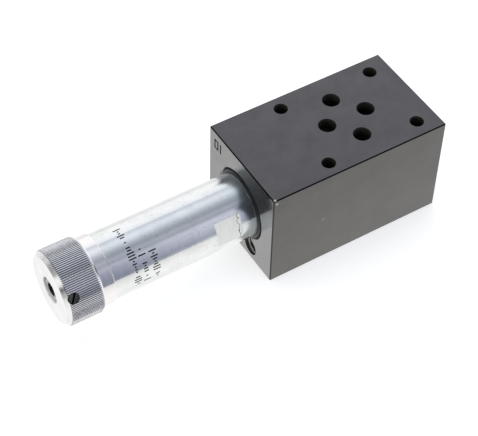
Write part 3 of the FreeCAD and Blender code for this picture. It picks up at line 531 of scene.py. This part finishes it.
def printRows(tree, made, printing):
    # rows of printed marks, plain bars and dots
    parts = made["parts"]
    height = put(tree, "Math", [parts["Y"], -1.0], operation="MULTIPLY")
    angle = put(tree, "Math", [height, parts["Z"]], operation="ARCTAN2")
    angle = put(tree, "Math", [angle, 180 / math.pi], operation="MULTIPLY")
    cells = put(tree, "Math", [angle, printing["pitch"]], operation="DIVIDE")
    cell = put(tree, "Math", [cells], operation="FLOOR")
    within = put(tree, "Math", [cells], operation="FRACT")
    thin = put(tree, "Math", [within, 0.5, printing["thickness"]], operation="COMPARE")
    outside = put(tree, "Math", [made["radius"], printing["outside"] * mm],
                  operation="GREATER_THAN")
    marks = None
    for number, row in enumerate(printing["rows"]):
        seed = put(tree, "CombineXYZ", {"X": cell, "Y": float(number)})
        chance = put(tree, "TexWhiteNoise", {"Vector": seed}, noise_dimensions="3D")
        tall = put(tree, "ValToRGB", [chance],
                   ramp=[(share, (half,) * 3 + (1,)) for share, half in printing["shapes"]])
        tall.color_ramp.interpolation = "CONSTANT"
        along = put(tree, "Math", [parts["X"], row["x"] * mm], operation="SUBTRACT")
        along = put(tree, "Math", [along, printing["height"] * mm], operation="DIVIDE")
        mark = put(tree, "Math", [along], operation="ABSOLUTE")
        mark = put(tree, "Math", [mark, tall], operation="LESS_THAN")
        inRow = put(tree, "Math", [angle, (row["from"] + row["to"]) / 2,
                                   (row["to"] - row["from"]) / 2], operation="COMPARE")
        mark = put(tree, "Math", [mark, inRow], operation="MULTIPLY")
        marks = mark if marks is None else put(tree, "Math", [marks, mark], operation="MAXIMUM")
    marks = put(tree, "Math", [marks, thin], operation="MULTIPLY")
    return put(tree, "Math", [marks, outside], operation="MULTIPLY")


def zincPlating(sleeve, flats, printing):
    # bright zinc on turned steel: almost white metal with faint rings, small clouds and dark specks
    material, tree, shader, made = turnedMetal(sleeve)
    x = made["parts"]["X"]
    tint = put(tree, "MapRange", {"Value": x, "From Min": sleeve["passivatedFrom"] * mm,
                                  "From Max": sleeve["passivatedTo"] * mm})
    specks = put(tree, "TexNoise", {"Vector": made["centred"],
                                    "Scale": metre / sleeve["speckSize"], "Detail": 2.0})
    specks = put(tree, "MapRange", {"Value": specks, "From Min": sleeve["speckFrom"],
                                    "From Max": sleeve["speckTo"],
                                    "To Max": sleeve["speckShare"]})
    onCollar = put(tree, "Math", [x, sleeve["collar"] * mm], operation="LESS_THAN")
    onFlat, flatColour = millFlats(tree, made, flats)
    marks = printRows(tree, made, printing)
    body = made["body"]
    for mask, colour in ((tint, sleeve["passivated"]), (specks, sleeve["speck"]),
                         (onCollar, sleeve["collarColour"]), (onFlat, flatColour),
                         (marks, printing["ink"])):
        body = put(tree, "Mix", {"Factor": mask, "A": body, "B": colour}, data_type="RGBA")
    rough = made["rough"]
    for mask, value in ((tint, sleeve["endRoughness"]), (onFlat, flats["roughness"]),
                        (marks, printing["roughness"])):
        rough = put(tree, "Mix", {"Factor": mask, "A": rough, "B": value})
    metallic = put(tree, "Math", [1.0, marks], operation="SUBTRACT")
    plug(tree, shader, {"Base Color": body, "Metallic": metallic, "Roughness": rough})
    return material


screwAxis = {"x": -123.6, "angle": 151.3}  # mm and degrees, the set screw's line through the knob


def awayFromScrew(tree, made):
    # distance from the set screw's axis, and height along it
    turn = math.radians(screwAxis["angle"])
    line = (0, math.cos(turn), math.sin(turn))
    out = put(tree, "VectorMath", [made["centred"], (screwAxis["x"] * mm, 0, 0)],
              operation="SUBTRACT")
    height = put(tree, "VectorMath", [out, line], operation="DOT_PRODUCT")
    side = put(tree, "VectorMath", [out, line], operation="CROSS_PRODUCT")
    side = put(tree, "VectorMath", [side], operation="LENGTH")
    return side, height


knob = {
    "name": "turned and straight knurled bright aluminium", "colour": "#f7f6f6",
    "stain": "#ededed", "roughness": 0.17, "pitch": 0.7, "depth": 0.003, "drawn": 0.4,
    # the grooves' colour is painted shade between the crests
    "grooveShade": "#6f6671", "root": 14.68, "crest": 14.71, "skin": 0.1,  # mm, radii and a depth
    "knurlFrom": -125.5, "knurlTo": -113.1,  # mm along the axis
    "roundFrom": 14.79, "roundTo": 14.81,  # mm, radii where a crest turns round
    "rim": "#fcfcfa", "rimRoughness": 0.18,  # the plain rim behind the knurl
    "screwShade": "#1b1b19", "screwRim": 2.22,  # mm, a ring of painted shade round the set screw, standing for the shadow at its hole's edge
    "borePaintedLight": "#f4f4f4", "boreRim": 5.42,  # mm, the bore's pale edge is painted light
}


def knurledAluminium(knob):
    # bright turned aluminium: pale satin faces, crests catching light between grooves painted dark
    # as painted shade, with painted shade round the set screw and a pale painted light on the
    # bore's edge
    material, tree, shader, made = turnedMetal(knob)
    x, radius, body = made["parts"]["X"], made["radius"], made["body"]
    low = put(tree, "MapRange", {"Value": radius, "From Min": knob["crest"] * mm,
                                 "From Max": knob["root"] * mm})
    middle = (knob["knurlFrom"] + knob["knurlTo"]) / 2
    half = (knob["knurlTo"] - knob["knurlFrom"]) / 2
    knurled = put(tree, "Math", [x, middle * mm, half * mm], operation="COMPARE")
    outer = put(tree, "Math", [radius, (knob["root"] - knob["skin"]) * mm],
                operation="GREATER_THAN")
    low = put(tree, "Math", [low, knurled], operation="MULTIPLY")
    low = put(tree, "Math", [low, outer], operation="MULTIPLY")
    rim = put(tree, "Math", [x, knob["knurlTo"] * mm], operation="GREATER_THAN")
    side, height = awayFromScrew(tree, made)
    # painted shade round the set screw, on the side it faces out of
    shade = put(tree, "Math", [side, knob["screwRim"] * mm], operation="LESS_THAN")
    facing = put(tree, "Math", [height, 0.0], operation="GREATER_THAN")
    shade = put(tree, "Math", [shade, facing], operation="MULTIPLY")
    bore = put(tree, "Math", [radius, knob["boreRim"] * mm], operation="LESS_THAN")
    for mask, colour in ((rim, "rim"), (low, "grooveShade"), (shade, "screwShade"),
                         (bore, "borePaintedLight")):
        body = put(tree, "Mix", {"Factor": mask, "A": body, "B": knob[colour]}, data_type="RGBA")
    rough = put(tree, "Mix", {"Factor": rim, "A": made["rough"], "B": knob["rimRoughness"]})
    metallic = put(tree, "Math", [1.0, bore], operation="SUBTRACT")  # the bore's edge is dull and painted pale, a painted light in place of the metal's reflection
    # the crests are worn round, so they catch the light of the tent as the plain cylinder would
    high = put(tree, "MapRange", {"Value": radius, "From Min": knob["roundFrom"] * mm,
                                  "From Max": knob["roundTo"] * mm})
    high = put(tree, "Math", [high, knurled], operation="MULTIPLY")
    outward = put(tree, "VectorMath", [made["across"]], operation="NORMALIZE")
    outward = put(tree, "VectorTransform", [outward], vector_type="VECTOR",
                  convert_from="OBJECT", convert_to="WORLD")
    rounded = put(tree, "Mix", {"Factor": high, "A": made["bump"], "B": outward},
                  data_type="VECTOR")
    rounded = put(tree, "VectorMath", [rounded], operation="NORMALIZE")
    plug(tree, shader, {"Base Color": body, "Metallic": metallic, "Roughness": rough,
                        "Normal": rounded})
    return material


setScrew = {
    "name": "black oxide screw steel, oiled", "colour": "#7f8075", "stain": "#4b4c44",
    "roughness": 0.34, "pitch": 0.4, "depth": 0.002, "drawn": 0.0,
    "slot": "#070707", "slotTop": 14.46,  # mm from the valve's axis, just under the screw's end
}


def blackOxide(setScrew):
    # black oxide under oil: nearly black with an olive cast, and a slot painted black as painted
    # shade
    material, tree, shader, made = turnedMetal(setScrew)
    height = awayFromScrew(tree, made)[1]
    # painted shade: all below the screw's end, the slot among it, is painted black
    inSlotShade = put(tree, "Math", [height, setScrew["slotTop"] * mm], operation="LESS_THAN")
    body = put(tree, "Mix", {"Factor": inSlotShade, "A": made["body"], "B": setScrew["slot"]},
               data_type="RGBA")
    plug(tree, shader, {"Base Color": body})
    return material


spindle = {
    "name": "plain turned spindle steel", "colour": "#a9abb0", "stain": "#97999f",
    "roughness": 0.28, "pitch": 0.5, "depth": 0.002,
    "end": -126.0, "radius": 5.0,  # mm
    # the end's colour from its middle to its edge, as shares of the radius
    "rings": [(0.0, "#8a8b8d"), (0.62, "#939496"), (0.74, "#b9babb"), (0.84, "#dddddd"),
              (1.0, "#c9cacb")],
    "spots": "#5f6062", "spotSize": 0.7, "spotFrom": 0.5, "spotTo": 0.68, "spotShare": 0.7,
    "spotEdge": 0.78,  # share of the radius that the spots reach
}


def spindleSteel(spindle):
    # plain turned steel: grey and mottled round the hexagon, bright on the turned edge
    material, tree, shader, made = turnedMetal(spindle)
    share = put(tree, "Math", [made["radius"], spindle["radius"] * mm], operation="DIVIDE")
    rings = put(tree, "ValToRGB", [share], ramp=spindle["rings"])
    spots = put(tree, "TexNoise", {"Vector": made["centred"], "Scale": metre / spindle["spotSize"],
                                   "Detail": 3.0})
    spotting = put(tree, "MapRange", {"Value": spots, "From Min": spindle["spotFrom"],
                                      "From Max": spindle["spotTo"],
                                      "To Max": spindle["spotShare"]})
    near = put(tree, "Math", [share, spindle["spotEdge"]], operation="LESS_THAN")
    spotting = put(tree, "Math", [spotting, near], operation="MULTIPLY")
    face = put(tree, "Mix", {"Factor": spotting, "A": rings, "B": spindle["spots"]},
               data_type="RGBA")
    onEnd = put(tree, "Math", [made["parts"]["X"], spindle["end"] * mm], operation="LESS_THAN")
    body = put(tree, "Mix", {"Factor": onEnd, "A": made["body"], "B": face}, data_type="RGBA")
    plug(tree, shader, {"Base Color": body})
    return material


plainFinishes = [
    # zinc on the plug is the sleeve's, seen duller
    {"name": "bright zinc plated steel plug", "colour": "#e4e6e8", "stain": "#d6d9dc",
     "roughness": 0.22, "pitch": 0.6, "depth": 0.002, "on": ["end_plug"]},
    # spring wire tempered in oil: dark, with a blue-black skin
    {"name": "oil tempered spring wire", "colour": "#5a595c", "stain": "#3f3e42",
     "roughness": 0.3, "pitch": 0.3, "depth": 0.002, "on": ["main_spring", "spindle_stop_ring"]},
    # hardened steel, ground: bright and even
    {"name": "hardened and ground spool steel", "colour": "#cbccd0", "stain": "#bfc0c6",
     "roughness": 0.16, "pitch": 0.25, "depth": 0.002, "on": ["control_spool"]},
    # brass from the lathe: yellow, slightly browned
    {"name": "turned brass", "colour": "#dcbd7c", "stain": "#cfa963",
     "roughness": 0.25, "pitch": 0.4, "depth": 0.002, "on": ["spool_orifice", "set_screw_pad"]},
    # free cutting steel from the lathe: grey with clear rings
    {"name": "turned free cutting steel", "colour": "#b9bbbf", "stain": "#a8aab0",
     "roughness": 0.26, "pitch": 0.5, "depth": 0.002,
     "on": ["lower_spring_plate", "upper_spring_plate"]},
    # moulded PTFE: waxy white
    {"name": "moulded white PTFE", "colour": "#ecebe5", "stain": "#e3e1d9", "metallic": 0.0,
     "roughness": 0.5, "pitch": 0.5, "depth": 0.002, "on": ["plate_backup_ring"]},
    # lapped ball: a mirror
    {"name": "lapped bearing steel", "colour": "#dddfe3", "stain": "#d2d4da", "drawn": 0.0,
     "roughness": 0.06, "pitch": 0.2, "depth": 0.0003, "on": ["thrust_ball"]},
]

dress(zincPlating(sleeve, wrenchFlats, printing), "adjuster_sleeve")
dress(knurledAluminium(knob), "control_knob")
dress(blackOxide(setScrew), "knob_set_screw")
dress(spindleSteel(spindle), "adjusting_spindle")
for finish in plainFinishes:
    dress(turnedMetal(finish)[0], *finish["on"])
print("turned pieces dressed")


# winding of spring and thread

def startOutline(name, corners, radius, place):
    # a ring of loose edges, alone in the selection
    bpy.ops.object.select_all(action="DESELECT")
    bpy.ops.mesh.primitive_circle_add(vertices=corners, radius=radius * mm, fill_type="NOTHING",
                                      location=place)
    outline = bpy.context.object
    outline.name = name
    return outline


def windOutline(outline, turns, steps, **settings):
    # carries the outline round its own X axis and leaves the piece in its place in the frame
    winding = outline.modifiers.new("winding", "SCREW")
    winding.axis = "X"
    winding.iterations = turns
    winding.steps = winding.render_steps = steps
    for name, value in settings.items():
        setattr(winding, name, value)
    bpy.ops.object.modifier_apply(modifier=winding.name)
    bpy.ops.object.transform_apply(location=True, rotation=True, scale=True)


def closeEnds():
    # the two open ends get a face each, and all faces look outwards
    bpy.ops.object.mode_set(mode="EDIT")
    bpy.ops.mesh.select_mode(type="EDGE")
    bpy.ops.mesh.select_all(action="DESELECT")
    bpy.ops.mesh.select_non_manifold(extend=False)
    bpy.ops.mesh.edge_face_add()
    bpy.ops.mesh.select_all(action="SELECT")
    bpy.ops.mesh.normals_make_consistent(inside=False)
    bpy.ops.object.mode_set(mode="OBJECT")


cutPrecision = 0.0001  # mm; bisect's own would leave the cut 0.1 mm off


def cutOff(place, way):
    # takes away what lies beyond a plane square to the axis, and closes the cut
    bpy.ops.object.mode_set(mode="EDIT")
    bpy.ops.mesh.select_all(action="SELECT")
    bpy.ops.mesh.bisect(plane_co=place, plane_no=(way, 0, 0), use_fill=True, clear_outer=True,
                        threshold=cutPrecision * mm)
    bpy.ops.object.mode_set(mode="OBJECT")


# the main spring, wound as one wire and then parted into two halves

mainSpring = {
    "wire": 1.5, "coil": 8.1, "turns": 14,  # radii in mm
    "endPitch": 3.06, "endLift": 0.9, "easing": 0.25,  # mm, mm and turns: the end turns lie close
    "steps": 32, "sides": 14,
    # each half is the part of the wire on its own side of the middle of the spring
    "halves": {
        "main_spring_upper_half": {"joint": "plate_slide", "travel": 6.0, "way": -1},
        "main_spring_lower_half": {"joint": "spool_slide", "travel": 4.0, "way": 1},
    },
}


def windingHeights(spring, length):
    # how far along the axis the wire has come at each step, close at both ends and open between
    turns, steps, endPitch = spring["turns"], spring["steps"], spring["endPitch"]
    openPitch = (length - 2 * spring["endLift"] - 2 * endPitch) / (turns - 2)
    heights = [spring["endLift"]]
    for step in range(turns * steps):
        turn = (step + 0.5) / steps
        share = (min(turn, turns - turn) - 1 + spring["easing"]) / (2 * spring["easing"])
        share = min(max(share, 0), 1)
        share = share * share * (3 - 2 * share)  # eases in and out
        heights.append(heights[-1] + (endPitch + (openPitch - endPitch) * share) / steps)
    return heights


def windSpring(spring, start, length):
    wound = startOutline("wound_spring", spring["sides"], spring["wire"],
                         (start * mm, 0, axisHeight * mm))
    for vertex in wound.data.vertices:
        vertex.co.y += spring["coil"] * mm
    windOutline(wound, spring["turns"], spring["steps"], screw_offset=0)
    heights = windingHeights(spring, length)
    for vertex in wound.data.vertices:
        vertex.co.x += heights[vertex.index // spring["sides"]] * mm
    closeEnds()
    # both ends are ground flat
    cutOff((start * mm, 0, 0), -1)
    cutOff(((start + length) * mm, 0, 0), 1)
    return wound


def partSpring(spring):
    # the new wire keeps the ends of the solid that it stands for
    places = [vertex.co.x / mm for vertex in nodes["main_spring"].data.vertices]
    lowEnd, highEnd = min(places), max(places)
    length = highEnd - lowEnd
    wound = windSpring(spring, lowEnd, length)
    middle = ((lowEnd + highEnd) / 2 * mm, 0, axisHeight * mm)
    for name, side in spring["halves"].items():
        half = bpy.data.objects.new(name, wound.data.copy())
        bpy.context.scene.collection.objects.link(half)
        bpy.ops.object.select_all(action="DESELECT")
        bpy.context.view_layer.objects.active = half
        half.select_set(True)
        cutOff(middle, -side["way"])
        bpy.ops.object.shade_smooth_by_angle(angle=smoothAngle)
        half.data.materials.append(nodes["main_spring"].material_slots[0].material)
        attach(half, "housing")
        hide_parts("main_spring")
        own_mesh(half)
    bpy.data.objects.remove(wound)


partSpring(mainSpring)
print("main spring wound and parted")


# thread in the side tapped hole

tapping = {
    "mouth": (-46.7, -8.1, 6.1),  # mm
    "wall": 3.85, "crest": 3.33, "pitch": 1.25, "inset": 0.5, "bite": 0.05, "weld": 0.001,  # mm
    "foot": 0.46, "flat": 0.08,  # half widths of the ridge, as shares of the pitch
    "turns": 8, "steps": 40,
    "colour": "#7d7c79", "bright": "#9a9996", "grainsPerMetre": 1800.0,
    "brightFrom": 0.3, "brightTo": 0.7, "smooth": 0.25, "rough": 0.4,
}


def cutThread(tapping):
    # a ridge with a flat crest, turned along the hole as the screw thread
    pitch, foot = tapping["pitch"], tapping["foot"] * tapping["pitch"]
    flat = tapping["flat"] * pitch
    root = tapping["wall"] + tapping["bite"]
    corners = [(-foot, root), (foot, root), (flat, tapping["crest"]), (-flat, tapping["crest"])]
    ridge = startOutline("side_hole_thread", len(corners), foot, Vector(tapping["mouth"]) * mm)
    for vertex, (along, radius) in zip(ridge.data.vertices, corners):
        vertex.co = Vector((tapping["inset"] + foot + along, 0, radius)) * mm
    windOutline(ridge, tapping["turns"], tapping["steps"], screw_offset=pitch * mm,
                use_merge_vertices=True, merge_threshold=tapping["weld"] * mm)
    closeEnds()
    bpy.ops.object.shade_smooth_by_angle(angle=smoothAngle)
    return ridge


def threadSteel(tapping):
    # the same phosphated iron, darker and oily where the tap has cut it
    material, tree, shader = newMaterial("phosphated tapped thread")
    place = put(tree, "TexCoord").outputs["Object"]
    grain = put(tree, "TexNoise", {"Vector": place, "Scale": tapping["grainsPerMetre"],
                                   "Detail": 3.0})
    tone = put(tree, "ValToRGB", [grain], ramp=[(tapping["brightFrom"], tapping["colour"]),
                                                (tapping["brightTo"], tapping["bright"])])
    gloss = put(tree, "MapRange", {"Value": grain, "To Min": tapping["smooth"],
                                   "To Max": tapping["rough"]})
    plug(tree, shader, {"Base Color": tone, "Metallic": 1.0, "Roughness": gloss})
    return material


thread = cutThread(tapping)
thread.data.materials.append(threadSteel(tapping))
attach(thread, "housing")
print("side hole threaded")


bpy.context.scene.view_settings.view_transform = "Standard"
